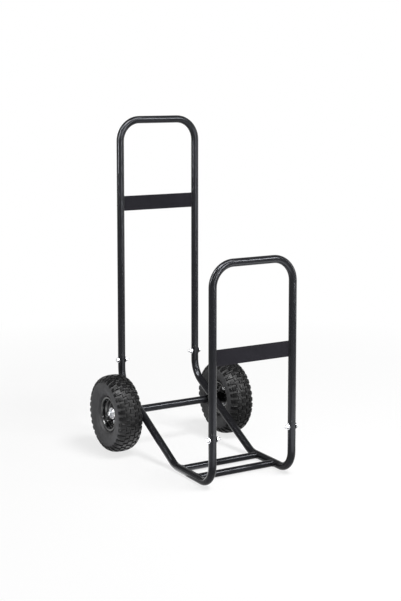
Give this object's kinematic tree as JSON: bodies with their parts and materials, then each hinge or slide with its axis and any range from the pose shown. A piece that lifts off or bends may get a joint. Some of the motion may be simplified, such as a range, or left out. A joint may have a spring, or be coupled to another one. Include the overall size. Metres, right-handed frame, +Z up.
{
  "type": "fireside log cart",
  "caption": "Fireside log cart of bent steel tube: a tall handle hoop and a low front hoop with flat cross plates, on cradle rails over an axle with pneumatic wheels.",
  "frame": {"origin": "on the floor, below the middle of the cart's bounding box", "axes": "+Z up; +Y from the front hoop towards the handle; +X across the cart, so that left and right are those of someone who stands before the front hoop and looks at the cart"},
  "size_m": [0.526, 0.6596, 1.1305],
  "materials": {
    "frame_paint": "satin black powder coat on steel tube",
    "plate_paint": "satin black powder coat on flat steel",
    "rim_paint": "gloss black enamel on pressed steel",
    "zinc": "bright zinc plating",
    "bearing_steel": "turned bright steel",
    "tyre_rubber": "matt moulded rubber",
    "tube_rubber": "smooth black rubber",
    "cap_plastic": "matt black plastic"
  },
  "bodies": {
    "frame": {"handle_hoop": "frame_paint", "front_hoop": "frame_paint", "handle_plate": "plate_paint", "front_plate": "plate_paint", "base_rail_left": "frame_paint", "base_rail_right": "frame_paint", "front_cross_bar": "frame_paint", "middle_cross_bar": "frame_paint", "axle_sleeve": "frame_paint", "axle_bracket_left": "plate_paint", "axle_bracket_right": "plate_paint", "axle_rod": "zinc", "joint_bolts": "zinc", "joint_washers": "zinc", "joint_nuts": "zinc", "axle_inner_washers": "zinc", "axle_outer_washers": "zinc", "cotter_pins": "zinc"},
    "wheel_left": {"tyre_left": "tyre_rubber", "inner_tube_left": "tube_rubber", "rim_outer_half_left": "rim_paint", "rim_inner_half_left": "rim_paint", "hub_left": "rim_paint", "outer_bearing_left": "bearing_steel", "inner_bearing_left": "bearing_steel", "rim_bolts_left": "zinc", "rim_nuts_left": "zinc", "valve_stem_left": "tube_rubber", "valve_cap_left": "cap_plastic"},
    "wheel_right": {"tyre_right": "tyre_rubber", "inner_tube_right": "tube_rubber", "rim_outer_half_right": "rim_paint", "rim_inner_half_right": "rim_paint", "hub_right": "rim_paint", "outer_bearing_right": "bearing_steel", "inner_bearing_right": "bearing_steel", "rim_bolts_right": "zinc", "rim_nuts_right": "zinc", "valve_stem_right": "tube_rubber", "valve_cap_right": "cap_plastic"}
  },
  "joints": [
    {"name": "wheel_left_spin", "type": "hinge", "parent": "frame", "child": "wheel_left", "pos_m": [-0.218, 0.19985, 0.13], "axis": [1, 0, 0], "continuous": true},
    {"name": "wheel_right_spin", "type": "hinge", "parent": "frame", "child": "wheel_right", "pos_m": [0.218, 0.19985, 0.13], "axis": [1, 0, 0], "continuous": true}
  ]
}
